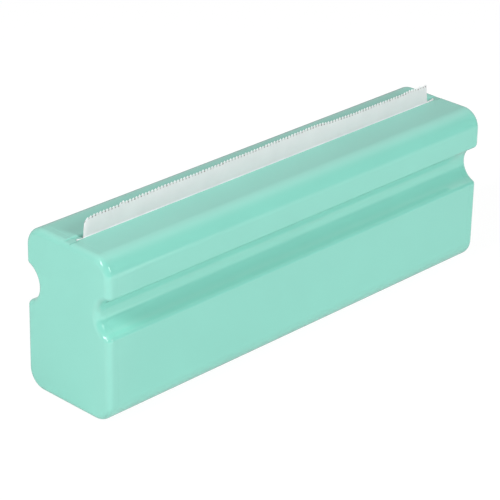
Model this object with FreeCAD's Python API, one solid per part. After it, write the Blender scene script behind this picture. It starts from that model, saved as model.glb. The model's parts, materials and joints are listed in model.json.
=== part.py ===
"""Wide-roll tape dispenser: an extruded tube with a grip groove along each side, closed by two end
caps, with a toothed cutter in the slot on top and a 300 mm roll inside. Millimetres. X runs along
the dispenser, -Y is the front and Z is up, with the origin on the floor under the middle."""
import FreeCAD, Part
import os
from math import asin, atan2, cos, floor, hypot, sin
from FreeCAD import Vector

os.makedirs("parts", exist_ok=True)

# Outer form; its length follows from the tape's width and what stands at each end of the roll
depth = 70.8
height = 105.5
edge_radius = 12.7
end_radius = 4.0
wall = 2.5
foot_stand = 1.0

# Grip groove along each long side
groove_radius = 12.4
groove_outset = 2.5  # the groove's axis lies this far outside the side
groove_rise = 68.1  # above the underside
groove_lip_radius = 2.8

# Slot in the top
slot_width = 4.2
slot_lip_radius = 2.0
notch_depth = 2.0

# End caps
cap_thickness = 7.4
plug_length = 10.0
plug_wall = 2.0
plug_gap = 0.15
cap_rib = 1.8
boss_length = 5.8  # of the left cap's boss, inside its wall
boss_radius = 8.0
spigot_radius = 5.0
spigot_engagement = 10.0
spigot_lead = 0.8

# Tape: the roll, its core and the strip that is led up to the slot
film_width = 300.0
film_thickness = 0.4
film_y = -0.5  # middle of the strip where it stands in the slot
film_gap = 0.3
roll_radius = 27.0
core_inner_radius = 12.7
core_wall = 1.6
roll_gap = 3.3  # between the full roll and the floor of the tube
tail_stand = 12.8  # how far the torn end stands out of the top
tooth_count = 117  # teeth across the tape's width
torn_tooth_height = 1.1

# Hubs in the ends of the core
hub_length = 22.0
hub_flange_radius = 17.0
hub_flange = 1.8
hub_wall = 2.0
running_gap = 0.05

# Drag on the roll
washer_thickness = 1.2
washer_radius = 10.0
side_gap = 0.1
spring_length = 2.4
spring_thickness = 0.6
spring_radius = 9.0

# Cutter and its carrier
blade_thickness = 0.6
blade_overhang = 2.0  # past each edge of the tape
blade_height = 17.0
blade_drop = 0.9  # tooth tips below the top of the slot
blade_tooth_height = 1.7
blade_standoff = 1.3  # from the middle of the strip to the blade
carrier_end_gap = 0.3
carrier_reach = 12.8  # from the middle plane to the carrier's outer edge
carrier_block = 5.6
carrier_leg = 3.0
carrier_leg_drop = 15.5
rail_wall = 2.0
rail_lap = 3.2
rail_gap = 0.2
screw_count = 4
screw_radius = 1.5
screw_length = 4.5
screw_head_radius = 2.8
screw_head = 0.5
screw_drop = 12.0  # below the inside of the top

# Holding strip that keeps the end of the tape from falling back
strip_base = 2.0
strip_height = 3.0
strip_lip = 0.7
strip_gap = 0.15
front_standoff = 1.4  # from the middle of the strip to the front carrier

# Guide roller
guide_radius = 4.5
guide_overhang = 1.0  # past each edge of the tape
guide_drop = 21.2  # its axis below the inside of the top
axle_radius = 1.5
bush_radius = 2.5
bush_flange_radius = 3.2
bush_flange = 0.6
bracket_thickness = 2.6
bracket_radius = 4.0
bracket_gap = 0.2

# Feet
foot_radius = 6.0
foot_inset_x = 24.0
foot_y = 11.0

hub_face = film_width / 2 + hub_flange
left_boss_end = hub_face + washer_thickness + 3 * side_gap + spring_length
right_boss_end = hub_face + washer_thickness + 2 * side_gap
half = left_boss_end + boss_length + wall
seam = half - cap_thickness
blade_length = film_width + 2 * blade_overhang
guide_length = film_width + 2 * guide_overhang
base = foot_stand
top = base + height
ceiling = top - wall
floor_inside = base + wall
groove_z = base + groove_rise
groove_y = depth / 2 + groove_outset
roll_z = floor_inside + roll_gap + roll_radius
core_radius = core_inner_radius + core_wall
tooth_pitch = film_width / tooth_count
film_front = film_y - film_thickness / 2
film_back = film_y + film_thickness / 2
blade_back = film_y + blade_standoff + blade_thickness
guide_y = film_front - film_gap - guide_radius
guide_z = ceiling - guide_drop
carrier_length = 2 * (seam - carrier_end_gap)
shelf = ceiling - rail_gap - carrier_block  # the rails' upper face, on which the carriers sit
overlap = 1.0
closeness = 0.01  # how near a point must be to count as lying on a surface


def box(x0, x1, y0, y1, z0, z1):
    return Part.makeBox(x1 - x0, y1 - y0, z1 - z0, Vector(x0, y0, z0))


def rod(radius, x0, x1, y, z):
    return Part.makeCylinder(radius, x1 - x0, Vector(x0, y, z), Vector(1, 0, 0))


def prism(points, x0, x1):
    """A closed outline of (y, z) points, drawn out along X."""
    corners = [Vector(x0, y, z) for y, z in points]
    wire = Part.makePolygon(corners + corners[:1])
    return Part.Face(wire).extrude(Vector(x1 - x0, 0, 0))


def plate(points, y0, y1):
    """A closed outline of (x, z) points, drawn out along Y."""
    corners = [Vector(x, y0, z) for x, z in points]
    wire = Part.makePolygon(corners + corners[:1])
    return Part.Face(wire).extrude(Vector(0, y1 - y0, 0))


def turned(points):
    """A closed outline of (x, radius) points, turned about the roll's axis."""
    corners = [Vector(x, 0, roll_z + r) for x, r in points]
    wire = Part.makePolygon(corners + corners[:1])
    return Part.Face(wire).revolve(Vector(0, 0, roll_z), Vector(1, 0, 0), 360)


def fused(first, *others):
    return first.multiFuse(list(others)).removeSplitter()


def runs_along(edge):
    """True for a straight edge that lies along the dispenser."""
    return edge.BoundBox.XLength > edge.Length - closeness


def block(x0, x1, inset):
    """The rounded rectangle of the outer form, drawn in by inset, without its grooves."""
    shape = box(x0, x1, inset - depth / 2, depth / 2 - inset, base + inset, top - inset)
    return shape.makeFillet(edge_radius - inset, [e for e in shape.Edges if runs_along(e)])


def grooves(x0, x1, inset):
    radius = groove_radius + inset
    return [rod(radius, x0, x1, side * groove_y, groove_z) for side in (-1, 1)]


def section(x0, x1, inset):
    """The outer form with its grooves, drawn in by inset."""
    return block(x0, x1, inset).cut(grooves(x0 - overlap, x1 + overlap, inset))


def on_groove_rim(edge):
    """True for the edges where a groove's cylinder leaves the outer surface."""
    p = edge.CenterOfMass
    return abs(hypot(abs(p.y) - groove_y, p.z - groove_z) - groove_radius) < closeness


def outer_form(x0, x1):
    """The outer form with its groove mouths rounded."""
    shape = section(x0, x1, 0)
    rims = [e for e in shape.Edges if runs_along(e) and on_groove_rim(e)]
    return shape.makeFillet(groove_lip_radius, rims)


def slot_mouth(x0, x1):
    """The flared top of the slot: a shallow channel between two rounded lips."""
    reach = slot_width / 2 + slot_lip_radius
    floor_z = top - notch_depth
    mouth = box(x0, x1, -reach, reach, floor_z, top + overlap)
    lips = [rod(slot_lip_radius, x0, x1, side * reach, top - slot_lip_radius) for side in (-1, 1)]
    return mouth.cut(lips)


def carrier_rails():
    """Two hooked rails under the top that the carriers slide into from the end."""
    outer = carrier_reach + rail_gap + rail_wall
    inner = carrier_reach + rail_gap
    outline = [
        (outer, ceiling + wall / 2),
        (outer, shelf - rail_wall),
        (inner - rail_lap, shelf - rail_wall),
        (inner - rail_lap, shelf),
        (inner, shelf),
        (inner, ceiling + wall / 2),
    ]
    return [prism([(side * y, z) for y, z in outline], -seam, seam) for side in (-1, 1)]


def casing():
    """The extruded tube, open at both ends, with the slot along its whole top."""
    x0, x1 = -seam - overlap, seam + overlap
    shape = outer_form(-seam, seam).cut(section(x0, x1, wall))
    shape = fused(shape, *carrier_rails())
    slot = box(x0, x1, -slot_width / 2, slot_width / 2, ceiling - overlap, top + overlap)
    return shape.cut([slot, slot_mouth(x0, x1)])


def end_cap(boss_end):
    """The left cap: rounded outer face, plug for the tube, ribs, and the spigot that carries the hub."""
    shape = outer_form(-half, -seam)
    outline = [e for e in shape.Edges if e.BoundBox.XMax < -half + closeness]
    shape = shape.makeFillet(end_radius, outline)
    plug_outer = wall + plug_gap
    plug_inner = plug_outer + plug_wall
    shape = shape.cut(section(-half + wall, -seam + overlap, plug_inner))
    plug = section(-seam - overlap, -seam + plug_length, plug_outer)
    plug = plug.cut(section(-seam - 2 * overlap, -seam + plug_length + overlap, plug_inner))
    plug_top = guide_z - bracket_radius
    plug = plug.cut(box(-half, 0, -depth, depth, plug_top, top))
    inner_face = -half + wall
    boss = rod(boss_radius, inner_face - overlap, boss_end, 0, roll_z)
    spigot = rod(spigot_radius, boss_end - overlap, -hub_face + spigot_engagement, 0, roll_z)
    spigot = spigot.makeChamfer(spigot_lead, [e for e in spigot.Edges if e.CenterOfMass.x > boss_end])
    reach = depth / 2 - plug_outer
    rib_end = min(boss_end, -seam)
    web = cap_rib / 2
    level = box(inner_face - overlap, rib_end, -reach, reach, roll_z - web, roll_z + web)
    upright = box(inner_face - overlap, rib_end, -web, web, base + plug_outer, top - plug_outer)
    shape = fused(shape, plug, boss, spigot, level, upright)
    return shape.cut(slot_mouth(-half - overlap, -seam + overlap))


def left_end_cap():
    return end_cap(-left_boss_end)


def right_end_cap():
    return end_cap(-right_boss_end).mirror(Vector(0, 0, 0), Vector(1, 0, 0))


def thrust_washer():
    x0 = hub_face + side_gap
    x1 = x0 + washer_thickness
    return rod(washer_radius, x0, x1, 0, roll_z).cut(rod(spigot_radius + side_gap, x0, x1, 0, roll_z))


def friction_washer():
    return thrust_washer().mirror(Vector(0, 0, 0), Vector(1, 0, 0))


def drag_spring():
    """A disc spring round the left spigot that presses the friction washer on the hub."""
    inner = spigot_radius + side_gap
    near = -hub_face - washer_thickness - 2 * side_gap
    far = near - spring_length
    outline = [
        (near - spring_thickness, spring_radius),
        (near, spring_radius),
        (far + spring_thickness, inner),
        (far, inner),
    ]
    return turned(outline)


def roll_core():
    core = rod(core_radius, -film_width / 2, film_width / 2, 0, roll_z)
    return core.cut(rod(core_inner_radius, -film_width / 2, film_width / 2, 0, roll_z))


def tape_roll():
    roll = rod(roll_radius, -film_width / 2, film_width / 2, 0, roll_z)
    return roll.cut(rod(core_radius, -film_width / 2, film_width / 2, 0, roll_z))


def left_hub():
    """A moulded plug: an outer wall in the core, an inner bearing tube and a flange joining them."""
    bore = spigot_radius + running_gap
    bearing = bore + hub_wall
    face = -hub_face
    shoulder = -film_width / 2
    deep = shoulder + hub_length
    outline = [
        (face, bore),
        (face, hub_flange_radius),
        (shoulder, hub_flange_radius),
        (shoulder, core_inner_radius),
        (deep, core_inner_radius),
        (deep, core_inner_radius - hub_wall),
        (shoulder, core_inner_radius - hub_wall),
        (shoulder, bearing),
        (deep - hub_wall, bearing),
        (deep - hub_wall, bore),
    ]
    return turned(outline)


def right_hub():
    return left_hub().mirror(Vector(0, 0, 0), Vector(1, 0, 0))


def screw_places():
    pitch = blade_length / screw_count
    return [(i + 0.5) * pitch - blade_length / 2 for i in range(screw_count)]


def screw_shank(x):
    start = Vector(x, blade_back - blade_thickness, ceiling - screw_drop)
    return Part.makeCylinder(screw_radius, screw_length, start, Vector(0, 1, 0))


def blade_screws():
    screws = []
    for x in screw_places():
        start = Vector(x, blade_back - blade_thickness - screw_head, ceiling - screw_drop)
        head = Part.makeCylinder(screw_head_radius, screw_head, start, Vector(0, 1, 0))
        screws.append(fused(head, screw_shank(x)))
    return Part.makeCompound(screws)


def toothed(x0, x1, pitch, low, root, tip):
    """The (x, z) outline of a strip whose upper edge is a row of teeth."""
    count = floor((x1 - x0) / pitch + closeness)
    margin = (x1 - x0 - count * pitch) / 2
    outline = [(x1, root), (x1, low), (x0, low), (x0, root)]
    for i in range(count):
        left = x0 + margin + i * pitch
        if i or margin > closeness:
            outline.append((left, root))
        outline.append((left + pitch / 2, tip))
    if margin > closeness:
        outline.append((x1 - margin, root))
    return outline


def cutter_blade():
    tip = top - blade_drop
    outline = toothed(
        -blade_length / 2, blade_length / 2, tooth_pitch, tip - blade_height, tip - blade_tooth_height, tip
    )
    blade = plate(outline, blade_back - blade_thickness, blade_back)
    return blade.cut([screw_shank(x) for x in screw_places()])


def blade_carrier():
    """The rear carrier: a block held by the rear rail and a leg that backs the blade."""
    upper = shelf + carrier_block
    foot = ceiling - carrier_leg_drop
    outline = [
        (blade_back, upper),
        (carrier_reach, upper),
        (carrier_reach, shelf),
        (blade_back + carrier_leg, shelf),
        (blade_back + carrier_leg, foot),
        (blade_back, foot),
    ]
    shape = prism(outline, -carrier_length / 2, carrier_length / 2)
    return shape.cut([screw_shank(x) for x in screw_places()])


def strip_groove(grow):
    """The groove in the front carrier that the holding strip's base is pressed into."""
    face = film_y - front_standoff
    upper = shelf + (carrier_block + strip_height) / 2
    return box(
        -carrier_length / 2 - grow,
        carrier_length / 2 + grow,
        face - strip_base,
        face + grow,
        upper - strip_height,
        upper,
    )


def holding_strip():
    """A soft strip whose lip leans on the tape just below the slot."""
    face = film_y - front_standoff
    middle = shelf + carrier_block / 2
    tip = film_front - strip_gap
    outline = [
        (face - overlap / 2, middle + strip_height / 2),
        (tip, middle + strip_lip),
        (tip, middle),
        (face - overlap / 2, middle - strip_height / 2),
    ]
    lip = prism(outline, -film_width / 2, film_width / 2)
    return fused(strip_groove(0), lip)


def roller_carrier():
    """The front carrier: it holds the holding strip, and its two brackets carry the guide roller."""
    face = film_y - front_standoff
    shape = box(-carrier_length / 2, carrier_length / 2, -carrier_reach, face, shelf, shelf + carrier_block)
    shape = shape.cut(strip_groove(overlap))
    inner = guide_length / 2 + 2 * bracket_gap + bush_flange
    for side in (-1, 1):
        x0, x1 = sorted((side * inner, side * (inner + bracket_thickness)))
        arm = box(x0, x1, guide_y - bracket_radius, guide_y + bracket_radius, guide_z, shelf + overlap / 2)
        eye = rod(bracket_radius, x0, x1, guide_y, guide_z)
        shape = fused(shape, arm, eye)
        shape = shape.cut(rod(bush_radius, x0, x1, guide_y, guide_z))
    return shape


def roller_bushes():
    bushes = []
    inner = guide_length / 2 + bracket_gap
    outer = inner + bush_flange + bracket_gap + bracket_thickness
    for side in (-1, 1):
        x0, x1 = sorted((side * inner, side * outer))
        f0, f1 = sorted((side * inner, side * (inner + bush_flange + bracket_gap)))
        barrel = rod(bush_radius, x0, x1, guide_y, guide_z)
        flange = rod(bush_flange_radius, f0, f1, guide_y, guide_z)
        bore = rod(axle_radius + running_gap, x0, x1, guide_y, guide_z)
        bushes.append(fused(barrel, flange).cut(bore))
    return Part.makeCompound(bushes)


def roller_axle():
    reach = guide_length / 2 + 2 * bracket_gap + bush_flange + bracket_thickness
    return rod(axle_radius, -reach, reach, guide_y, guide_z)


def guide_roller():
    roller = rod(guide_radius, -guide_length / 2, guide_length / 2, guide_y, guide_z)
    return roller.cut(rod(axle_radius, -guide_length / 2, guide_length / 2, guide_y, guide_z))


def web_line(offset):
    """Where the strip leaves the roll and where it meets the guide roller, offset from its middle."""
    from_roll = roll_radius + film_gap + film_thickness / 2
    from_guide = guide_radius + film_gap + film_thickness / 2
    across = guide_y
    rise = guide_z - roll_z
    lean = asin((from_roll + from_guide) / hypot(across, rise)) + atan2(across, rise)
    out_y, out_z = -cos(lean), sin(lean)
    start = (out_y * (from_roll + offset), roll_z + out_z * (from_roll + offset))
    end = (guide_y - out_y * (from_guide - offset), guide_z - out_z * (from_guide - offset))
    return lean, start, end


def tape_web():
    """The strip between the roll and the guide roller, and round the roller to the upright."""
    front, back = film_thickness / 2, -film_thickness / 2
    lean, front_start, front_end = web_line(front)
    lean, back_start, back_end = web_line(back)
    centre = Vector(0, guide_y, guide_z)
    inner_radius = guide_radius + film_gap
    outer_radius = inner_radius + film_thickness

    def on_arc(radius, angle):
        return centre + Vector(0, cos(angle) * radius, sin(angle) * radius)

    def arc(radius, start, end):
        points = [on_arc(radius, angle) for angle in (start, (start + end) / 2, end)]
        return Part.Arc(*points).toShape()

    def point(yz):
        return Vector(0, yz[0], yz[1])

    edges = [
        Part.makeLine(point(front_start), point(front_end)),
        arc(inner_radius, -lean, 0),
        Part.makeLine(on_arc(inner_radius, 0), on_arc(outer_radius, 0)),
        arc(outer_radius, 0, -lean),
        Part.makeLine(point(back_end), point(back_start)),
        Part.makeLine(point(back_start), point(front_start)),
    ]
    face = Part.Face(Part.Wire(edges))
    face.translate(Vector(-film_width / 2, 0, 0))
    return face.extrude(Vector(film_width, 0, 0))


def tape_tail():
    """The upright end of the strip, torn along the cutter's teeth."""
    tip = top + tail_stand
    outline = toothed(-film_width / 2, film_width / 2, tooth_pitch, guide_z, tip - torn_tooth_height, tip)
    return plate(outline, film_front, film_back)


def rubber_feet():
    feet = []
    for x in (foot_inset_x - half, half - foot_inset_x):
        for y in (-foot_y, foot_y):
            feet.append(Part.makeCylinder(foot_radius, foot_stand, Vector(x, y, 0)))
    return Part.makeCompound(feet)


pieces = [
    casing,
    left_end_cap,
    right_end_cap,
    rubber_feet,
    blade_carrier,
    cutter_blade,
    blade_screws,
    roller_carrier,
    holding_strip,
    roller_bushes,
    roller_axle,
    guide_roller,
    tape_roll,
    roll_core,
    left_hub,
    right_hub,
    thrust_washer,
    friction_washer,
    drag_spring,
    tape_web,
    tape_tail,
]
for piece in pieces:
    piece().exportStep(f"parts/{piece.__name__}.step")
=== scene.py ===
import bpy
import json
import math
import random
from mathutils import Matrix, Vector


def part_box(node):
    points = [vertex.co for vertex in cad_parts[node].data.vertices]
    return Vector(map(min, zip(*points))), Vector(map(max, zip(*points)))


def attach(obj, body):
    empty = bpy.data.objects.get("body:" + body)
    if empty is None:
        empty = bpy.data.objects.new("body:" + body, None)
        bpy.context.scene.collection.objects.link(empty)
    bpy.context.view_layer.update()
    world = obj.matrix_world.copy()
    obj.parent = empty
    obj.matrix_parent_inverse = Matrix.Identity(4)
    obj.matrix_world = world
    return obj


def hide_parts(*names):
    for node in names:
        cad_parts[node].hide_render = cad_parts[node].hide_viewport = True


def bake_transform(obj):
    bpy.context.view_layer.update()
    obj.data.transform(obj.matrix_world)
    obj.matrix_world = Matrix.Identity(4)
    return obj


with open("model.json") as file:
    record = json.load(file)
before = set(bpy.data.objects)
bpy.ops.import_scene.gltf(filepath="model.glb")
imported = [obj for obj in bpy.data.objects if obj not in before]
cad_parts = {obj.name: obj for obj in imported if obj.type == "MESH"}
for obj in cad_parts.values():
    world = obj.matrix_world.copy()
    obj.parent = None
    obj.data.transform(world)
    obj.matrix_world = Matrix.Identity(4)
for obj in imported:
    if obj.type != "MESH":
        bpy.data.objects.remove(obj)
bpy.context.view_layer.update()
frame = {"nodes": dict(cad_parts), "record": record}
scene = bpy.context.scene
nodes = frame["nodes"]
mm = 0.001
white = (1, 1, 1, 1)
sliver = 0.00001  # a length that counts as none
print("frame loaded")


def deselectAll():
    for each in list(bpy.context.selected_objects):
        each.select_set(False)


def makeActive(piece):
    deselectAll()
    piece.select_set(True)
    bpy.context.view_layer.objects.active = piece


def applyModifier(piece, name):
    makeActive(piece)
    bpy.ops.object.modifier_apply(modifier=name)


def joinTo(piece, other):
    deselectAll()
    other.select_set(True)
    piece.select_set(True)
    bpy.context.view_layer.objects.active = piece
    bpy.ops.object.join()


# the direction from the object to whatever stands at this azimuth and elevation, in degrees
def directionTo(azimuth, elevation):
    turn = math.radians(azimuth)
    lift = math.radians(elevation)
    return Vector((math.sin(turn) * math.cos(lift), -math.cos(turn) * math.cos(lift), math.sin(lift)))


cameraSettings = {
    "azimuth": -46.203,
    "elevation": 25.684,
    "roll": 1.258,
    "aim": (0.0, 0.0, 0.05329),
    "distance": 1.42587,
    "right": -0.009233,
    "up": -0.004896,
    "lens": 165.2,
    "sensor": 36,
    "farthest": 20,
}


def makeCamera(settings):
    turn = math.radians(settings["azimuth"])
    roll = math.radians(settings["roll"])
    back = directionTo(settings["azimuth"], settings["elevation"])
    level = Vector((math.cos(turn), math.sin(turn), 0))
    upright = back.cross(level)
    right = level * math.cos(roll) + upright * math.sin(roll)
    up = upright * math.cos(roll) - level * math.sin(roll)
    place = Vector(settings["aim"]) + back * settings["distance"]
    place += right * settings["right"] + up * settings["up"]
    data = bpy.data.cameras.new("camera")
    data.lens = settings["lens"]
    data.sensor_width = settings["sensor"]
    data.clip_end = settings["farthest"]
    camera = bpy.data.objects.new("camera", data)
    scene.collection.objects.link(camera)
    camera.matrix_world = Matrix((
        (right.x, up.x, back.x, place.x),
        (right.y, up.y, back.y, place.y),
        (right.z, up.z, back.z, place.z),
        (0, 0, 0, 1),
    ))
    scene.camera = camera


makeCamera(cameraSettings)
scene.view_settings.view_transform = "Standard"

# two softboxes; azimuth and elevation in degrees, power in watts
softboxes = {
    "leftSoftbox": {"azimuth": -88, "elevation": 40, "power": 11.3},
    "rightSoftbox": {"azimuth": 10, "elevation": 30, "power": 9.6},
}
softboxShape = {
    "aim": (0, 0, 0.06),
    "distance": 1.4,
    "width": 0.26,
    "height": 0.56,
    "mirroredShare": 0.22,  # the front sheet's share of the power, all that glossy surfaces mirror
    "backSheet": 0.03,  # how far behind it the other sheet stands
}


def makeSoftbox(name, settings, shape):
    away = directionTo(settings["azimuth"], settings["elevation"])
    mirrored = shape["mirroredShare"]
    for part, share, behind in (("Back", 1 - mirrored, shape["backSheet"]), ("Front", mirrored, 0.0)):
        data = bpy.data.lights.new(name + part, "AREA")
        data.shape = "RECTANGLE"
        data.size = shape["width"]
        data.size_y = shape["height"]
        data.energy = settings["power"] * share
        lamp = bpy.data.objects.new(name + part, data)
        scene.collection.objects.link(lamp)
        lamp.location = Vector(shape["aim"]) + away * (shape["distance"] + behind)
        lamp.rotation_euler = (-away).to_track_quat("-Z", "Y").to_euler()
        lamp.visible_glossy = part == "Front"


for name, settings in softboxes.items():
    makeSoftbox(name, settings, softboxShape)


def spread(tree, value, low, high, fromLow=0.3, fromHigh=0.7, soft=False):
    node = tree.nodes.new("ShaderNodeMapRange")
    if soft:
        node.interpolation_type = "SMOOTHSTEP"
    node.inputs["From Min"].default_value = fromLow
    node.inputs["From Max"].default_value = fromHigh
    node.inputs["To Min"].default_value = low
    node.inputs["To Max"].default_value = high
    tree.links.new(value, node.inputs["Value"])
    return node.outputs[0]


def maths(tree, operation, first, second=0.0):
    node = tree.nodes.new("ShaderNodeMath")
    node.operation = operation
    tree.links.new(first, node.inputs[0])
    if isinstance(second, float):
        node.inputs[1].default_value = second
    else:
        tree.links.new(second, node.inputs[1])
    return node.outputs[0]


# one strength for glossy rays and another for all the rest
def levelFor(tree, path, plain, glossy):
    node = tree.nodes.new("ShaderNodeMix")
    if isinstance(plain, float):
        node.inputs["A"].default_value = plain
    else:
        tree.links.new(plain, node.inputs["A"])
    tree.links.new(glossy, node.inputs["B"])
    tree.links.new(path.outputs["Is Glossy Ray"], node.inputs["Factor"])
    return node.outputs["Result"]


def mixShaders(tree, factor, first, second):
    node = tree.nodes.new("ShaderNodeMixShader")
    tree.links.new(factor, node.inputs["Fac"])
    tree.links.new(first.outputs[0], node.inputs[1])
    tree.links.new(second.outputs[0], node.inputs[2])
    return node.outputs[0]


# the room is white towards the horizon, dim overhead and plain white behind the object;
# glossy surfaces mirror a bright ceiling sheet that ends above the front.
# where each begins and ends is the Z or Y of a direction one unit long
room = {
    "background": 1.0,
    "horizon": 0.73,
    "overhead": 0.06,
    "horizonTo": 0.40,
    "overheadFrom": 0.72,
    "mirroredHorizon": 0.66,
    "mirroredCeiling": 0.93,
    "ceilingFrom": 0.45,
    "ceilingTo": 0.65,
    "sheetEnds": -0.6,
    "sheetFull": 0.15,
}


def makeRoom(settings):
    world = bpy.data.worlds.new("studio")
    scene.world = world
    world.use_nodes = True
    tree = world.node_tree
    tree.nodes.clear()
    output = tree.nodes.new("ShaderNodeOutputWorld")
    coords = tree.nodes.new("ShaderNodeTexCoord")
    parts = tree.nodes.new("ShaderNodeSeparateXYZ")
    path = tree.nodes.new("ShaderNodeLightPath")
    tree.links.new(coords.outputs["Generated"], parts.inputs[0])
    around = spread(
        tree, parts.outputs["Z"], settings["horizon"], settings["overhead"],
        settings["horizonTo"], settings["overheadFrom"], soft=True)
    ceiling = spread(
        tree, parts.outputs["Z"], settings["mirroredHorizon"], settings["mirroredCeiling"],
        settings["ceilingFrom"], settings["ceilingTo"], soft=True)
    sheet = spread(tree, parts.outputs["Y"], 0, 1, settings["sheetEnds"], settings["sheetFull"], soft=True)
    mirrored = maths(tree, "MULTIPLY", ceiling, sheet)
    lit = tree.nodes.new("ShaderNodeBackground")
    lit.inputs["Color"].default_value = white
    tree.links.new(levelFor(tree, path, around, mirrored), lit.inputs["Strength"])
    plain = tree.nodes.new("ShaderNodeBackground")
    plain.inputs["Color"].default_value = white
    plain.inputs["Strength"].default_value = settings["background"]
    tree.links.new(mixShaders(tree, path.outputs["Is Camera Ray"], lit, plain), output.inputs["Surface"])


makeRoom(room)

floorSettings = {
    "size": 8.0,
    "colour": (0.86, 0.86, 0.86, 1),
    "glow": 1.085,
    "glowShare": 0.86,
    "mirrored": 0.62,  # how much of its white the floor shows in glossy surfaces
    "pool": (-0.72, -0.69, 0),  # the side where it shows all of it
    "poolFrom": 0.12,
    "poolTo": 0.17,
    "nearTo": 0.55,  # beyond this far from the middle its mirror image fades
    "farFrom": 1.15,
    "farShare": 0.3,
}


def makeFloor(settings):
    deselectAll()
    bpy.ops.mesh.primitive_plane_add(size=settings["size"], location=(0, 0, 0))
    floor = bpy.context.object
    floor.name = "floor"
    material = bpy.data.materials.new("paleFloor")
    material.use_nodes = True
    tree = material.node_tree
    tree.nodes.clear()
    output = tree.nodes.new("ShaderNodeOutputMaterial")
    matt = tree.nodes.new("ShaderNodeBsdfDiffuse")
    matt.inputs["Color"].default_value = settings["colour"]
    glow = tree.nodes.new("ShaderNodeEmission")
    glow.inputs["Color"].default_value = white
    path = tree.nodes.new("ShaderNodeLightPath")
    coords = tree.nodes.new("ShaderNodeTexCoord")
    towards = tree.nodes.new("ShaderNodeVectorMath")
    towards.operation = "DOT_PRODUCT"
    towards.inputs[1].default_value = settings["pool"]
    tree.links.new(coords.outputs["Object"], towards.inputs[0])
    pool = spread(
        tree, towards.outputs["Value"], settings["mirrored"], settings["glow"],
        settings["poolFrom"], settings["poolTo"], soft=True)
    reach = tree.nodes.new("ShaderNodeVectorMath")
    reach.operation = "LENGTH"
    tree.links.new(coords.outputs["Object"], reach.inputs[0])
    fade = spread(
        tree, reach.outputs["Value"], 1, settings["farShare"],
        settings["nearTo"], settings["farFrom"], soft=True)
    shown = maths(tree, "MULTIPLY", pool, fade)
    tree.links.new(levelFor(tree, path, settings["glow"], shown), glow.inputs["Strength"])
    # the camera, glossy surfaces and clear ones see the glow, and the rest sees the matt floor
    seen = maths(tree, "MAXIMUM", path.outputs["Is Camera Ray"], path.outputs["Is Glossy Ray"])
    seen = maths(tree, "MAXIMUM", seen, path.outputs["Is Transmission Ray"])
    seen = maths(tree, "MULTIPLY", seen, settings["glowShare"])
    tree.links.new(mixShaders(tree, seen, matt, glow), output.inputs["Surface"])
    floor.data.materials.append(material)


makeFloor(floorSettings)
print("studio made")

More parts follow.
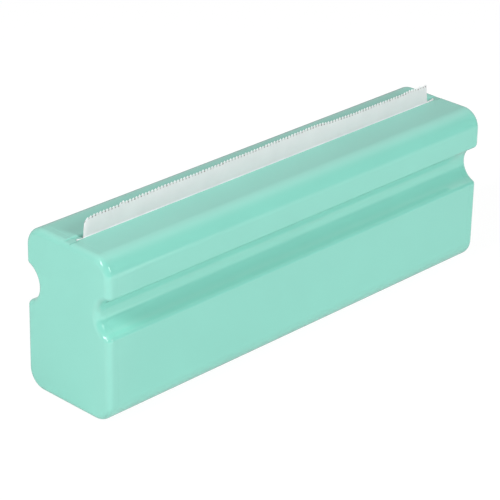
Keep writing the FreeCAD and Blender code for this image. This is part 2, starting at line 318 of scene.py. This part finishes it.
# clouds vary a finish's colour between two shares of itself, grain varies its roughness, and relief
# raises its surface; each of the three is a noise of (scale, detail, roughness)
finishSettings = {
    "gloss_mint": {
        "name": "mintPlastic",
        "colour": (0.25, 0.665, 0.553),
        "roughness": (0.06, 0.095),
        "specular": 1.0,
        "ior": 1.56,
        "clouds": (18, 2, 0.5),
        "shades": (0.985, 1.015),
        "grain": (160, 3, 0.5),
        "relief": (55, 2, 0.5),
        "strength": 0.03,
        "depth": 0.0006,
    },
    "grey_plastic": {
        "name": "greyPlastic",
        "colour": (0.30, 0.31, 0.32),
        "roughness": (0.37, 0.48),
        "clouds": (30, 2, 0.5),
        "shades": (0.96, 1.03),
        "grain": (900, 2, 0.5),
        "relief": (900, 2, 0.5),
        "strength": 0.12,
        "depth": 0.0001,
    },
    "white_plastic": {
        "name": "whitePlastic",
        "colour": (0.74, 0.74, 0.71),
        "roughness": (0.30, 0.41),
        "clouds": (30, 2, 0.5),
        "shades": (0.96, 1.03),
        "grain": (900, 2, 0.5),
        "relief": (900, 2, 0.5),
        "strength": 0.12,
        "depth": 0.0001,
    },
    "blade_steel": {
        "name": "bladeSteel",
        "colour": (0.60, 0.61, 0.63),
        "roughness": (0.2, 0.38),
        "metallic": 1.0,
        "stretch": (3, 40, 40),  # its fine lines run along X
        "clouds": (60, 4, 0.65),
        "shades": (0.92, 1.05),
        "grain": (60, 4, 0.65),
        "relief": (60, 4, 0.65),
        "strength": 0.15,
        "depth": 0.0001,
    },
    "steel": {
        "name": "plainSteel",
        "colour": (0.52, 0.53, 0.55),
        "roughness": (0.2, 0.38),
        "metallic": 1.0,
        "stretch": (10, 60, 60),
        "clouds": (60, 4, 0.65),
        "shades": (0.92, 1.05),
        "grain": (60, 4, 0.65),
        "relief": (60, 4, 0.65),
        "strength": 0.15,
        "depth": 0.0001,
    },
    "rubber": {
        "name": "blackRubber",
        "colour": (0.022, 0.022, 0.023),
        "roughness": (0.62, 0.78),
        "specular": 0.4,
        "clouds": (90, 2, 0.5),
        "shades": (0.85, 1.15),
        "grain": (1500, 3, 0.5),
        "relief": (1500, 3, 0.5),
        "strength": 0.3,
        "depth": 0.0001,
    },
    "silicone": {
        "name": "silicone",
        # near white, so that the holding lip's edge at the slot's ends shows as a painted highlight streak
        "colour": (0.90, 0.94, 0.93),
        "roughness": (0.27, 0.43),
        "specular": 0.4,
        "clouds": (90, 2, 0.5),
        "shades": (0.85, 1.15),
        "grain": (1500, 3, 0.5),
        "relief": (1500, 3, 0.5),
        "strength": 0.3,
        "depth": 0.0001,
    },
    "felt": {
        "name": "greyFelt",
        "colour": (0.05, 0.05, 0.055),
        "roughness": 0.95,
        "specular": 0.2,
        "sheen": 0.3,
        "clouds": (1800, 5, 0.7),
        "shades": (0.7, 1.35),
        "relief": (1800, 5, 0.7),
        "strength": 0.6,
        "depth": 0.0003,
    },
    "card": {
        "name": "coreBoard",
        "colour": (0.40, 0.29, 0.18),
        "roughness": 0.85,
        "specular": 0.3,
        "clouds": (700, 4, 0.6),
        "shades": (0.85, 1.12),
        "relief": (700, 4, 0.6),
        "strength": 0.25,
        "depth": 0.0002,
    },
    "film": {
        "name": "cloudyFilm",
        "colour": (0.815, 0.78, 0.80),
        "roughness": 0.3,
        "clouds": (60, 3, 0.5),
        "shades": (0.97, 1.03),
        "relief": (60, 3, 0.5),
        "strength": 0.05,
        "depth": 0.0005,
    },
    "tornFilm": {
        "name": "tornFilm",
        "colour": (0.815, 0.78, 0.80),
        "roughness": 0.32,
        "lightThrough": 0.7,  # the strip lets light through to its other side
        "throughReach": 0.0013,
        "clouds": (60, 3, 0.5),
        "shades": (0.97, 1.03),
        "relief": (60, 3, 0.5),
        "strength": 0.02,
        "depth": 0.0005,
    },
}


def noise(tree, place, scale, detail, roughness):
    node = tree.nodes.new("ShaderNodeTexNoise")
    node.inputs["Scale"].default_value = scale
    node.inputs["Detail"].default_value = detail
    node.inputs["Roughness"].default_value = roughness
    tree.links.new(place, node.inputs["Vector"])
    return node.outputs["Fac"]


def mixColours(tree, value, first, second):
    node = tree.nodes.new("ShaderNodeMix")
    node.data_type = "RGBA"
    if isinstance(first, tuple):
        node.inputs["A"].default_value = (*first, 1)
    else:
        tree.links.new(first, node.inputs["A"])
    node.inputs["B"].default_value = (*second, 1)
    tree.links.new(value, node.inputs["Factor"])
    return node.outputs["Result"]


def shade(colour, factor):
    return tuple(min(1.0, part * factor) for part in colour)


def makeFinish(settings):
    material = bpy.data.materials.new(settings["name"])
    material.use_nodes = True
    tree = material.node_tree
    shader = tree.nodes["Principled BSDF"]
    shader.inputs["Specular IOR Level"].default_value = settings.get("specular", 0.5)
    shader.inputs["Metallic"].default_value = settings.get("metallic", 0.0)
    shader.inputs["IOR"].default_value = settings.get("ior", 1.5)
    shader.inputs["Sheen Weight"].default_value = settings.get("sheen", 0.0)
    if "lightThrough" in settings:
        shader.inputs["Subsurface Weight"].default_value = settings["lightThrough"]
        shader.inputs["Subsurface Radius"].default_value = (1, 1, 1)
        shader.inputs["Subsurface Scale"].default_value = settings["throughReach"]
    coords = tree.nodes.new("ShaderNodeTexCoord")
    mapping = tree.nodes.new("ShaderNodeMapping")
    mapping.inputs["Scale"].default_value = settings.get("stretch", (1, 1, 1))
    tree.links.new(coords.outputs["Object"], mapping.inputs["Vector"])
    place = mapping.outputs["Vector"]
    darker, lighter = settings["shades"]
    clouds = spread(tree, noise(tree, place, *settings["clouds"]), 0, 1)
    colour = mixColours(
        tree, clouds, shade(settings["colour"], darker), shade(settings["colour"], lighter))
    tree.links.new(colour, shader.inputs["Base Color"])
    if "grain" in settings:
        grain = spread(tree, noise(tree, place, *settings["grain"]), *settings["roughness"])
        tree.links.new(grain, shader.inputs["Roughness"])
    else:
        shader.inputs["Roughness"].default_value = settings["roughness"]
    bump = tree.nodes.new("ShaderNodeBump")
    bump.inputs["Strength"].default_value = settings["strength"]
    bump.inputs["Distance"].default_value = settings["depth"]
    tree.links.new(noise(tree, place, *settings["relief"]), bump.inputs["Height"])
    tree.links.new(bump.outputs["Normal"], shader.inputs["Normal"])
    return material


finishes = {}
for name, settings in finishSettings.items():
    finishes[name] = makeFinish(settings)

# painted shade in the gaps between the torn teeth, uneven in strength, and painted white highlights on the
# tips;
# heights are in millimetres above the teeth's roots, widths in shares of a tooth
teethShadeAndHighlight = {
    # the painted shade's colour at the gaps' roots, then the painted highlight's colour on the tips
    "gapShadeColour": (0.16, 0.10, 0.10),
    "tipHighlightColour": (1.0, 1.0, 1.0),
    "shadeSpotWidth": 0.26,
    "shadeSpotHeight": 0.05,
    "shadeSpotTall": 0.55,
    "shadeSpotEdge": (0.3, 1.2),
    "weakestShade": 0.25,
    "highlightFrom": 0.5,
    "highlightTo": 1.1,
}


def paintToothShadeAndHighlight(material, settings):
    tree = material.node_tree
    baseColour = tree.nodes["Principled BSDF"].inputs["Base Color"]
    body = baseColour.links[0].from_socket
    tooth = tree.nodes.new("ShaderNodeUVMap")
    tooth.uv_map = "tooth"  # its U counts teeth, its V is the height
    parts = tree.nodes.new("ShaderNodeSeparateXYZ")
    tree.links.new(tooth.outputs[0], parts.inputs[0])
    # each gap's root gets a spot of painted shade, stronger or weaker at random from tooth to tooth
    gap = maths(tree, "PINGPONG", parts.outputs["X"], 0.5)
    wide = maths(tree, "DIVIDE", gap, settings["shadeSpotWidth"])
    above = maths(tree, "SUBTRACT", parts.outputs["Y"], settings["shadeSpotHeight"])
    tall = maths(tree, "DIVIDE", above, settings["shadeSpotTall"])
    far = maths(
        tree, "ADD", maths(tree, "POWER", wide, 2.0),
        maths(tree, "POWER", maths(tree, "ABSOLUTE", tall), 2.0))
    shadeSpot = spread(tree, far, 1.0, 0.0, *settings["shadeSpotEdge"])
    number = tree.nodes.new("ShaderNodeTexWhiteNoise")
    number.noise_dimensions = "1D"
    tree.links.new(maths(tree, "ROUND", parts.outputs["X"]), number.inputs["W"])
    strength = spread(tree, number.outputs["Value"], settings["weakestShade"], 1.0, 0.0, 1.0)
    paintedShade = maths(tree, "MULTIPLY", shadeSpot, strength)
    shadedFilm = mixColours(tree, paintedShade, body, settings["gapShadeColour"])
    # towards their tops the teeth fade to white, a painted highlight
    tipHighlight = spread(tree, parts.outputs["Y"], 0.0, 1.0, settings["highlightFrom"], settings["highlightTo"])
    tree.links.new(mixColours(tree, tipHighlight, shadedFilm, settings["tipHighlightColour"]), baseColour)


paintToothShadeAndHighlight(finishes["tornFilm"], teethShadeAndHighlight)

for part in frame["record"]["subparts"]:
    piece = nodes[part["node"]]
    for place in range(len(piece.material_slots)):
        piece.material_slots[place].material = finishes[part["material_slot"]]
print("finishes made")

shell = {
    "edgeRadius": 0.0127,
    "grooveRadius": 0.0124,
    "grooveOutset": 0.0025,  # the grooves' centres stand this far outside the sides
    "grooveHeight": 0.0691,
    "innerSide": 0.0332,  # nothing of the inside reaches this far out
    "faceTolerance": 0.00005,
    "arcTolerance": 0.00006,
    "seamWidth": 0.0003,
    "seamDepth": 0.00012,
    "rearLip": 0.002,
    "frontLip": 0.0006,
    "lipTolerance": 0.00004,
    "slotHalf": 0.0021,
    "endRadius": 0.004,
    "flatWithin": 0.2,  # degrees
    "smoothWithin": 28,
    "normalWeight": 70,
}
casingLow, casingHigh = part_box("casing")


def isOuter(place, settings):
    low, high = casingLow, casingHigh
    near = settings["faceTolerance"]
    side, height = abs(place.y), place.z
    if side > settings["innerSide"] or height < low.z + near or height > high.z - near:
        return True
    grooveY = high.y + settings["grooveOutset"]
    fromGroove = math.hypot(side - grooveY, height - settings["grooveHeight"])
    if abs(fromGroove - settings["grooveRadius"]) < settings["arcTolerance"]:
        return True
    radius = settings["edgeRadius"]
    corner = high.y - radius
    for level, outwards in ((low.z + radius, -1), (high.z - radius, 1)):
        if side > corner and (height - level) * outwards > 0:
            if abs(math.hypot(side - corner, height - level) - radius) < settings["arcTolerance"]:
                return True
    return False


def mergedCopy(node, name):
    piece = bpy.data.objects.new(name, nodes[node].data.copy())
    scene.collection.objects.link(piece)
    makeActive(piece)
    bpy.ops.object.mode_set(mode="EDIT")
    bpy.ops.mesh.select_all(action="SELECT")
    bpy.ops.mesh.remove_doubles(threshold=sliver)
    bpy.ops.object.mode_set(mode="OBJECT")
    bpy.ops.mesh.customdata_custom_splitnormals_clear()
    return piece


def acrossPlace(vertex):
    return round(vertex.co.y / sliver), round(vertex.co.z / sliver)


def cutSeam(piece, seam, inwards, settings):
    # a second ring beside the seam, then the seam's own ring goes in a little to leave a fine line
    ring = seam + inwards * settings["seamWidth"]
    makeActive(piece)
    bpy.ops.object.mode_set(mode="EDIT")
    bpy.ops.mesh.select_all(action="SELECT")
    bpy.ops.mesh.bisect(plane_co=(ring, 0, 0), plane_no=(1, 0, 0))
    bpy.ops.object.mode_set(mode="OBJECT")
    outwards = {}
    for vertex in piece.data.vertices:
        if abs(vertex.co.x - ring) < sliver / 2 and isOuter(vertex.co, settings):
            outwards[acrossPlace(vertex)] = vertex.normal.copy()
    for vertex in piece.data.vertices:
        if abs(vertex.co.x - seam) < sliver / 2 and acrossPlace(vertex) in outwards:
            vertex.co -= outwards[acrossPlace(vertex)] * settings["seamDepth"]


def sharpenFrontLip(piece, top, settings):
    old, new, wall = settings["rearLip"], settings["frontLip"], -settings["slotHalf"]
    for vertex in piece.data.vertices:
        fromY = vertex.co.y - (wall - old)
        fromZ = vertex.co.z - (top - old)
        if -sliver < fromY < old + sliver and -sliver < fromZ < old + sliver:
            if abs(math.hypot(fromY, fromZ) - old) < settings["lipTolerance"]:
                angle = math.atan2(fromZ, fromY)
                vertex.co.y = wall - new + new * math.cos(angle)
                vertex.co.z = top - new + new * math.sin(angle)


def softBlock(name, low, high, edge, picks):
    deselectAll()
    bpy.ops.mesh.primitive_cube_add(size=1, location=(low + high) / 2)
    piece = bpy.context.object
    piece.name = name
    bpy.ops.transform.resize(value=high - low)
    bpy.ops.object.transform_apply(location=True, rotation=True, scale=True)
    if edge:
        bpy.ops.object.mode_set(mode="EDIT")
        bpy.ops.mesh.select_all(action="DESELECT")
        bpy.ops.object.mode_set(mode="OBJECT")
        for line in piece.data.edges:
            line.select = all(picks(piece.data.vertices[index].co) for index in line.vertices)
        bpy.ops.object.mode_set(mode="EDIT")
        bpy.ops.mesh.select_mode(type="EDGE")
        bpy.ops.mesh.bevel(offset=edge, segments=4, clamp_overlap=True)
        bpy.ops.mesh.select_mode(type="VERT")
        bpy.ops.object.mode_set(mode="OBJECT")
    return piece


# what closes the slot's ends: a shallow trough over the cap and a tongue that reaches into the body's slot
trough = {
    "inner": 0.15665,
    "front": -0.00212,
    "rear": 0.00262,
    "bottom": 0.1044,
    "depth": 0.00065,
    "sunk": 0.00002,  # how far it stays under the cap's end rounding
    "bare": 0.45,  # the share of that rounding, from the end, that it leaves free
    "bends": (0.25, 0.5, 0.75),  # shares of its height where it can follow the rounding
    "edge": 0.0005,
    "tongueInner": 0.1503,
    "tongueFront": -0.00012,
    "tongueRear": 0.00206,
    "tongueDrop": 0.0004,
    "tongueLap": 0.0004,  # how far the tongue reaches into the trough's block
    "tongueUnder": 0.00003,  # and how far it stays below the trough's floor
}


def makeTrough(name, side, endFace, top, settings):
    bottom, edge, inner = settings["bottom"], settings["edge"], settings["inner"]
    tongueInner = settings["tongueInner"]
    floor = top - settings["depth"]
    radius = shell["endRadius"]
    outer = abs(endFace) - radius * settings["bare"]
    near, far = sorted((side * inner, side * outer))
    block = softBlock(
        name, Vector((near, settings["front"], bottom)), Vector((far, settings["rear"], floor)),
        edge, lambda place: abs(place.x) > inner + mm and place.z > floor - sliver)
    # the outer end follows the cap's end rounding
    makeActive(block)
    bpy.ops.object.mode_set(mode="EDIT")
    bpy.ops.mesh.select_all(action="SELECT")
    for share in settings["bends"]:
        level = bottom + (floor - edge - bottom) * share
        bpy.ops.mesh.bisect(plane_co=(0, 0, level), plane_no=(0, 0, 1))
        bpy.ops.mesh.select_all(action="SELECT")
    bpy.ops.object.mode_set(mode="OBJECT")
    for vertex in block.data.vertices:
        rise = vertex.co.z - (top - radius)
        reach = abs(endFace) - radius + math.sqrt(radius ** 2 - rise ** 2) - settings["sunk"]
        if abs(vertex.co.x) > outer - edge - sliver:
            vertex.co.x = side * (reach - (outer - abs(vertex.co.x)))
    near, far = sorted((side * tongueInner, side * (inner + settings["tongueLap"])))
    tongue = softBlock(
        name + "Tongue", Vector((near, settings["tongueFront"], bottom)),
        Vector((far, settings["tongueRear"], floor - settings["tongueUnder"])),
        edge, lambda place: abs(place.x) < tongueInner + sliver and place.z > floor - mm / 10)
    for vertex in tongue.data.vertices:
        if vertex.co.z > bottom + mm / 10:
            inwards = max(0.0, inner - abs(vertex.co.x)) / (inner - tongueInner)
            vertex.co.z -= settings["tongueDrop"] * inwards ** 2
    joinTo(block, tongue)
    return block


def finishShell(piece, node, colour, settings):
    makeActive(piece)
    bpy.ops.object.mode_set(mode="EDIT")
    bpy.ops.mesh.select_all(action="SELECT")
    bpy.ops.mesh.dissolve_limited(angle_limit=math.radians(settings["flatWithin"]))
    bpy.ops.object.mode_set(mode="OBJECT")
    bpy.ops.object.shade_smooth_by_angle(angle=math.radians(settings["smoothWithin"]))
    soften = piece.modifiers.new("weighted", "WEIGHTED_NORMAL")
    soften.keep_sharp = True
    soften.weight = settings["normalWeight"]
    applyModifier(piece, "weighted")
    piece.data.materials.clear()
    piece.data.materials.append(colour)
    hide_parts(node)


def makeShells(settings):
    low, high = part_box("casing")
    top = high.z
    body = mergedCopy("casing", "bodyShell")
    sharpenFrontLip(body, top, settings)
    cutSeam(body, high.x, -1, settings)
    cutSeam(body, low.x, 1, settings)
    finishShell(body, "casing", finishes["gloss_mint"], settings)
    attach(body, "casing")
    for node, name, seam, inwards, carrier in (
        ("left_end_cap", "leftCapShell", low.x, -1, "casing"),
        ("right_end_cap", "rightCapShell", high.x, 1, "end_cap"),
    ):
        cap = mergedCopy(node, name)
        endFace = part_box(node)[0].x if inwards < 0 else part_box(node)[1].x
        cutSeam(cap, seam, inwards, settings)
        joinTo(cap, makeTrough(name + "Trough", inwards, endFace, top, trough))
        finishShell(cap, node, finishes["gloss_mint"], settings)
        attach(cap, carrier)
    print("shells made")


makeShells(shell)

# the toothed blade; its top corners are cut away where the caps' tongues pass over its ends
cutter = {
    "clearance": 0.0002,
    "past": 0.001,  # how far the cutting blocks reach past the blade
    "smoothWithin": 20,  # degrees
}


def makeCutterBlade(settings):
    low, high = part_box("cutter_blade")
    blade = mergedCopy("cutter_blade", "cutterBlade")
    past = settings["past"]
    inner = trough["tongueInner"] - settings["clearance"]
    bottom = trough["bottom"] - settings["clearance"]
    for side in (-1, 1):
        near, far = sorted((side * inner, side * (high.x + past)))
        corner = softBlock(
            "bladeCorner", Vector((near, low.y - past, bottom)),
            Vector((far, high.y + past, high.z + past)), 0, None)
        cut = blade.modifiers.new("corner", "BOOLEAN")
        cut.operation = "DIFFERENCE"
        cut.solver = "EXACT"
        cut.object = corner
        applyModifier(blade, "corner")
        bpy.data.objects.remove(corner)
    makeActive(blade)
    bpy.ops.object.shade_smooth_by_angle(angle=math.radians(settings["smoothWithin"]))
    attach(blade, "casing")
    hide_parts("cutter_blade")
    print("cutter blade made")


makeCutterBlade(cutter)


def edgeRow(name, columns, width):
    # one row of edges along X, left in edit mode with all of it selected
    deselectAll()
    bpy.ops.mesh.primitive_grid_add(x_subdivisions=columns, y_subdivisions=1, size=width, location=(0, 0, 0))
    row = bpy.context.object
    row.name = name
    bpy.ops.object.mode_set(mode="EDIT")
    bpy.ops.mesh.select_all(action="DESELECT")
    bpy.ops.object.mode_set(mode="OBJECT")
    for vertex in row.data.vertices:
        vertex.select = vertex.co.y > 0
    bpy.ops.object.mode_set(mode="EDIT")
    bpy.ops.mesh.delete(type="VERT")
    bpy.ops.mesh.select_all(action="SELECT")
    return row


def extrudeBy(step, times):
    for each in range(times):
        bpy.ops.mesh.extrude_region_move(TRANSFORM_OT_translate={"value": step})


def thicken(piece, thickness):
    wall = piece.modifiers.new("wall", "SOLIDIFY")
    wall.thickness = thickness
    wall.offset = 0
    applyModifier(piece, "wall")


def faceOutwards(piece, smoothWithin):
    makeActive(piece)
    bpy.ops.object.mode_set(mode="EDIT")
    bpy.ops.mesh.select_all(action="SELECT")
    bpy.ops.mesh.normals_make_consistent(inside=False)
    bpy.ops.object.mode_set(mode="OBJECT")
    bpy.ops.object.shade_smooth_by_angle(angle=math.radians(smoothWithin))


# a value from 0 to 1 eased at both its ends
def eased(share):
    return share * share * (3 - 2 * share)


def held(share):
    return min(1.0, max(0.0, share))


# the soft lip that holds the film against the cutter; its near-white top edge, raised into view at the slot's
# ends, shows there as a painted highlight streak
holdingLipAsHighlight = {
    "columns": 90,
    "rows": 6,
    "rise": 0.1065,  # height of the lip's top edge
    "rooted": 0.0005,  # how deep its wall starts in the foot
    "front": -0.00203,
    "thickness": 0.0007,
    "rounding": 0.4,  # of its edges, as a share of the thickness
    "leanBack": 0.00105,  # how far its free ends spring back past the film
    "leanFromLeft": 0.1528,
    "leanFromRight": 0.1508,
    "freeFrom": 0.150,
    "freeWidth": 0.0015,
    "endRise": 0.0003,  # the right end stands this much higher, the left end lower
    "footEdge": 0.0004,
    "smoothWithin": 35,  # degrees
}


def makeHoldingLip(settings):
    low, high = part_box("holding_strip")
    width = high.x - low.x
    foot = softBlock("holdingLipAsHighlight", low, high, settings["footEdge"], lambda place: True)
    lip = edgeRow("lipWall", settings["columns"], width)
    middleY = settings["front"] + settings["thickness"] / 2
    bpy.ops.transform.translate(value=(0, width / 2 + middleY, high.z - settings["rooted"]))
    rise = (settings["rise"] - high.z + settings["rooted"]) / settings["rows"]
    extrudeBy((0, 0, rise), settings["rows"])
    bpy.ops.object.mode_set(mode="OBJECT")
    for vertex in lip.data.vertices:
        place = vertex.co
        leanFrom = settings["leanFromRight"] if place.x > 0 else settings["leanFromLeft"]
        share = held((abs(place.x) - leanFrom) / (high.x - leanFrom))
        tall = max(0.0, (place.z - high.z) / (settings["rise"] - high.z))
        place.y += settings["leanBack"] * eased(share) * tall
        free = held((abs(place.x) - settings["freeFrom"]) / settings["freeWidth"])
        place.z += math.copysign(settings["endRise"], place.x) * free * tall
    thicken(lip, settings["thickness"])
    soft = lip.modifiers.new("soft", "BEVEL")
    soft.width = settings["thickness"] * settings["rounding"]
    soft.segments = 3
    soft.limit_method = "ANGLE"
    applyModifier(lip, "soft")
    joinTo(foot, lip)
    faceOutwards(foot, settings["smoothWithin"])
    # the near-white silicone makes the lip's top edge read as a painted highlight at the slot's ends
    foot.data.materials.clear()
    foot.data.materials.append(finishes["silicone"])
    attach(foot, "casing")
    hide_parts("holding_strip")
    print("holding lip made")


makeHoldingLip(holdingLipAsHighlight)

tape = {
    "teeth": 117,
    "columnsPerTooth": 4,
    "thickness": 0.00025,
    "overRoll": math.radians(35),  # how far the strip still lies on the roll
    "rollClearance": 0.0005,
    "rollSteps": 8,
    "runSteps": 3,
    "guideSteps": 5,
    "neckRows": 14,
    "tailRows": 12,
    "neckFrom": 0.0838,  # between these heights the strip stretches as it is drawn out
    "neckTo": 0.104,
    "stand": 0.0125,  # how far the strip stands over the box before its edge gets its own course
    # height of the torn edge over the box along the strip, both in millimetres
    "edge": [
        (-150, 9.6), (-149, 11.0), (-147.6, 11.7), (-143, 12.1), (-135, 12.2), (-123.5, 12.2), (-122.5, 13.3),
        (-121.2, 13.6), (-119.6, 12.9), (-118, 12.6), (-107, 12.8), (-97, 12.8), (-88, 13.25), (-42, 13.25),
        (-38, 13.75), (17, 13.8), (26, 14.1), (45, 14.1), (55, 12.95), (69, 12.9), (74, 12.65), (121, 12.65),
        (131, 13.3), (139.6, 12.5), (142, 12.9), (145, 12.5), (147.4, 12.6), (148.6, 11.6), (150, 10.6),
    ],
    "toothHeight": 0.0015,
    "toothRows": 2,
    "toothShape": 0.8,  # below 1 the teeth are fuller
    "toothScatter": 0.00018,  # how much their heights differ
    "rootRise": 0.00012,
    "lastPeak": 0.25,  # the last tooth peaks this far across and falls to the corner
    "toothWave": 0.00014,  # how far teeth and gaps bend to and fro
    "waveFrom": 0.9,  # share of the strip's height from where they do
    "footFrom": 0.1027,  # above here the strip leans forwards to the slot's front lip
    "footTo": 0.1054,
    "footShift": 0.00085,
    "leanLeft": 0.0025,  # how far the left side leans in, within leftWidth of it
    "leanRight": 0.0002,
    "leftWidth": 0.03,
    "rightWidth": 0.02,
    "flareLeft": 0.0019,
    "curlWidth": 0.0028,
    "curlDepth": 0.0011,
    "curlGrowth": 1.6,  # how fast the curl grows with height until it is whole
    "waves": [(0.00022, 47, 0.0), (0.00016, 131, 1.3)],  # depth, radians per metre, start
    "smoothWithin": 40,  # degrees
}


def between(points, at):
    for (x0, y0), (x1, y1) in zip(points, points[1:]):
        if at <= x1:
            return y0 + (y1 - y0) * max(0.0, at - x0) / (x1 - x0)
    return points[-1][1]


def makeTapeStrip(settings):
    random.seed(7)
    tailLow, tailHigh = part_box("tape_tail")
    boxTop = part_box("left_end_cap")[1].z
    joints = {joint["name"]: joint for joint in frame["record"]["behaviour"]["joints"]}
    rollAxis = Vector(joints["roll_spin"]["pos_m"])
    guideAxis = Vector(joints["guide_roller_spin"]["pos_m"])
    filmY = (tailLow.y + tailHigh.y) / 2
    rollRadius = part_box("tape_roll")[1].z - rollAxis.z + settings["rollClearance"]
    guideRadius = filmY - guideAxis.y
    toGuide = guideAxis - rollAxis
    lean = math.asin((rollRadius + guideRadius) / math.hypot(toGuide.y, toGuide.z))
    lean += math.atan2(toGuide.y, toGuide.z)
    out = Vector((0, -math.cos(lean), math.sin(lean)))
    run = guideAxis - out * guideRadius - (rollAxis + out * rollRadius)
    width = tailHigh.x - tailLow.x
    teeth, toothHeight, toothRows = settings["teeth"], settings["toothHeight"], settings["toothRows"]
    # one row of edges across the film, laid on the roll where the strip starts
    strip = edgeRow("tapeStrip", teeth * settings["columnsPerTooth"], width)
    back = settings["overRoll"]
    start = rollAxis + rollRadius * Vector((0, -math.cos(lean - back), math.sin(lean - back)))
    bpy.ops.transform.translate(value=start - Vector((0, -width / 2, 0)))
    # round the roll, straight to the guide roller, round its back and up through the slot
    bpy.ops.mesh.spin(steps=settings["rollSteps"], angle=back, center=rollAxis, axis=(1, 0, 0))
    extrudeBy(run / settings["runSteps"], settings["runSteps"])
    bpy.ops.mesh.spin(steps=settings["guideSteps"], angle=-lean, center=guideAxis, axis=(1, 0, 0))
    extrudeBy((0, 0, settings["neckFrom"] - guideAxis.z), 1)
    extrudeBy((0, 0, (settings["neckTo"] - settings["neckFrom"]) / settings["neckRows"]), settings["neckRows"])
    tailEnd = boxTop + settings["stand"] - toothHeight
    extrudeBy((0, 0, (tailEnd - settings["neckTo"]) / settings["tailRows"]), settings["tailRows"])
    extrudeBy((0, 0, toothHeight / toothRows), toothRows)
    bpy.ops.object.mode_set(mode="OBJECT")
    # the torn edge, the leaning sides and the curled borders
    pitch = width / teeth
    tailFoot = settings["neckTo"]
    scatter = settings["toothScatter"]
    jitter = [random.uniform(-scatter, scatter) for tooth in range(teeth + 1)]
    layer = strip.data.uv_layers.new(name="tooth")
    places = [None] * len(strip.data.vertices)
    for vertex in strip.data.vertices:
        place = vertex.co
        across = place.x
        fromLeft = across - tailLow.x
        fromRight = tailHigh.x - across
        toothPlace = fromLeft / pitch
        upright = place.y > filmY - mm / 10
        foot = eased(held((place.z - settings["footFrom"]) / (settings["footTo"] - settings["footFrom"])))
        foot = foot if upright else 0.0
        places[vertex.index] = (toothPlace, -1.0)
        place.y -= settings["footShift"] * foot
        place.x -= settings["flareLeft"] * foot * max(0.0, 1 - fromLeft / settings["leftWidth"]) ** 2
        if not upright or place.z < tailFoot:
            continue
        tooth = min(int(toothPlace), teeth - 1)
        share = (place.z - tailFoot) / (tailEnd - tailFoot)
        edge = boxTop + mm * between(settings["edge"], across / mm)
        root = edge - toothHeight
        if place.z < tailEnd + sliver:
            place.z = tailFoot + (root - tailFoot) * share
        else:
            level = (place.z - tailEnd) / toothHeight
            if tooth < teeth - 1:
                point = 1 - abs(toothPlace - int(toothPlace + sliver) - 0.5) * 2
            else:
                point = 1 - abs(toothPlace - tooth - settings["lastPeak"]) / (1 - settings["lastPeak"])
            tall = (toothHeight + jitter[tooth]) * held(point) ** settings["toothShape"]
            place.z = root + (tall + settings["rootRise"]) * level
        places[vertex.index] = (toothPlace, (place.z - root) / mm)
        high = max(0.0, (place.z - tailFoot) / (edge - tailFoot))
        place.x += settings["leanLeft"] * high * max(0.0, 1 - fromLeft / settings["leftWidth"]) ** 2
        place.x -= settings["leanRight"] * high * max(0.0, 1 - fromRight / settings["rightWidth"]) ** 2
        for distance in (fromLeft, fromRight):
            curl = max(0.0, 1 - distance / settings["curlWidth"])
            place.y += settings["curlDepth"] * curl * curl * min(1.0, high * settings["curlGrowth"])
        for depth, number, begin in settings["waves"]:
            place.y += high * depth * math.sin(across * number + begin)
        if share > settings["waveFrom"]:
            place.y += settings["toothWave"] * math.cos(2 * math.pi * toothPlace)
    for loop in strip.data.loops:
        layer.data[loop.index].uv = places[loop.vertex_index]
    thicken(strip, settings["thickness"])
    faceOutwards(strip, settings["smoothWithin"])
    strip.data.materials.append(finishes["tornFilm"])
    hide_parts("tape_tail", "tape_web")
    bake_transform(strip)
    print("tape strip made")


makeTapeStrip(tape)
